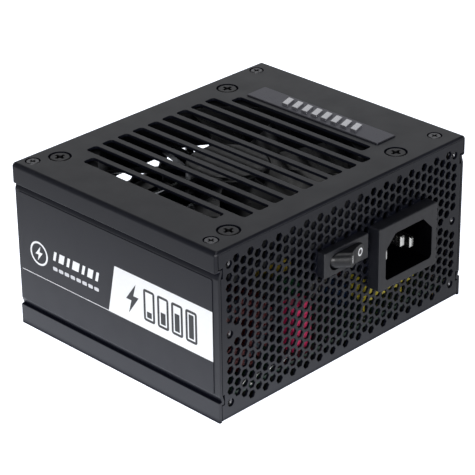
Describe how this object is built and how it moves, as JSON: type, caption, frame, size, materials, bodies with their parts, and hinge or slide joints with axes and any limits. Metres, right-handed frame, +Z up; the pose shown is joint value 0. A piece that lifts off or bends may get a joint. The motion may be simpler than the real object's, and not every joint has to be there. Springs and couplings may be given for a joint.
{
  "type": "power supply unit",
  "caption": "Compact computer power supply: slotted fan cover, honeycomb end wall with mains inlet and rocker switch, and a wall of DC sockets.",
  "frame": {"origin": "centre of the underside of the case floor", "axes": "+Z up through the fan, -Y out of the face with the mains inlet and switch, +Y out of the DC socket face, +X to the right of a viewer facing the inlet"},
  "size_m": [0.125, 0.1073, 0.0648],
  "materials": {
    "badge_metal": "brushed blue-grey anodised",
    "blue_epoxy": "dipped epoxy",
    "board_green": "glass-fibre board with solder mask",
    "brass_post": "turned",
    "bronze": "sintered",
    "capacitor_sleeve": "shrink sleeve",
    "case_steel": "fine-textured black powder coat",
    "clear_film": "translucent film",
    "copper_wire": "enamelled copper",
    "core_coat": "epoxy-coated ring core",
    "emblem_metal": "satin silver",
    "fan_frame_plastic": "moulded, satin",
    "fan_lead_insulation": "insulated wire",
    "fan_plastic": "moulded, semi-gloss",
    "ferrite": "matt",
    "fuse_ceramic": "glazed",
    "green_epoxy": "dipped epoxy",
    "heatsink_alloy": "stamped, bare",
    "inlet_plastic": "moulded, fine texture",
    "label_film": "satin laminated sticker",
    "lead_insulation": "silicone sleeve",
    "magnet_ferrite": "matt",
    "motor_steel": "plated",
    "package_black": "moulded package",
    "red_enamel": "enamelled wire",
    "red_film": "moulded box",
    "relay_plastic": "moulded",
    "rocker_plastic": "polished moulded",
    "screw_black": "black oxide",
    "screw_zinc": "black zinc, rubbed bright",
    "socket_plastic": "moulded nylon",
    "spring_steel": "bare",
    "tinned_metal": "tin-plated, bright",
    "winding_tape": "polyester tape",
    "yellow_box": "moulded box"
  },
  "bodies": {
    "case": {"top_cover": "case_steel", "chassis": "case_steel", "badge_plate": "badge_metal", "badge_emblem": "emblem_metal", "side_label_left": "label_film", "side_label_right": "label_film", "rating_label": "label_film", "fan_screws": "screw_black", "cover_screws": "screw_zinc", "inlet_housing": "inlet_plastic", "inlet_live_pins": "tinned_metal", "inlet_earth_pin": "tinned_metal", "inlet_leads": "lead_insulation", "switch_housing": "inlet_plastic", "switch_terminals": "tinned_metal", "fan_frame": "fan_frame_plastic", "fan_bearing_sleeve": "bronze", "fan_stator_core": "motor_steel", "fan_stator_coils": "copper_wire", "fan_circuit_board": "board_green", "fan_lead": "fan_lead_insulation", "main_board": "board_green", "board_standoffs": "brass_post", "board_screws": "spring_steel", "insulation_sheet": "clear_film", "connector_board": "board_green", "motherboard_sockets": "socket_plastic", "cpu_graphics_sockets": "socket_plastic", "peripheral_sockets": "socket_plastic", "socket_pins": "tinned_metal", "x_capacitor": "yellow_box", "y_capacitors": "blue_epoxy", "input_fuse": "fuse_ceramic", "emi_choke_cores": "core_coat", "emi_choke_windings": "copper_wire", "bridge_rectifier": "package_black", "inrush_relay": "relay_plastic", "inrush_thermistor": "green_epoxy", "pfc_film_capacitor": "red_film", "pfc_choke_core": "core_coat", "pfc_choke_winding": "red_enamel", "bulk_capacitor": "capacitor_sleeve", "primary_heatsink": "heatsink_alloy", "primary_transistors": "package_black", "transformer_core": "ferrite", "transformer_winding": "winding_tape", "standby_transformer": "ferrite", "secondary_heatsink": "heatsink_alloy", "output_capacitors": "capacitor_sleeve", "converter_boards": "board_green", "converter_inductors": "ferrite", "control_board": "board_green"},
    "fan_rotor": {"fan_impeller": "fan_plastic", "fan_yoke_cup": "motor_steel", "fan_magnet_ring": "magnet_ferrite", "fan_shaft": "motor_steel"},
    "rocker": {"switch_rocker": "rocker_plastic", "switch_plunger": "socket_plastic", "switch_spring": "spring_steel"},
    "contact_lever": {"switch_contact_lever": "copper_wire"}
  },
  "joints": [
    {"name": "fan_spin", "type": "hinge", "parent": "case", "child": "fan_rotor", "pos_m": [-0.0065, 0, 0.055], "axis": [0, 0, 1], "continuous": true},
    {"name": "rocker_tilt", "type": "hinge", "parent": "case", "child": "rocker", "pos_m": [-0.00365, -0.04743, 0.0415], "axis": [0, 0, 1], "range_deg": [-36, 0]},
    {"name": "lever_tilt", "type": "hinge", "parent": "case", "child": "contact_lever", "pos_m": [-0.00365, -0.04053, 0.0415], "axis": [0, 0, 1], "range_deg": [0, 10]}
  ],
  "couplings": [
    {"joint": "lever_tilt", "follows": "rocker_tilt", "ratio": -0.27778}
  ]
}
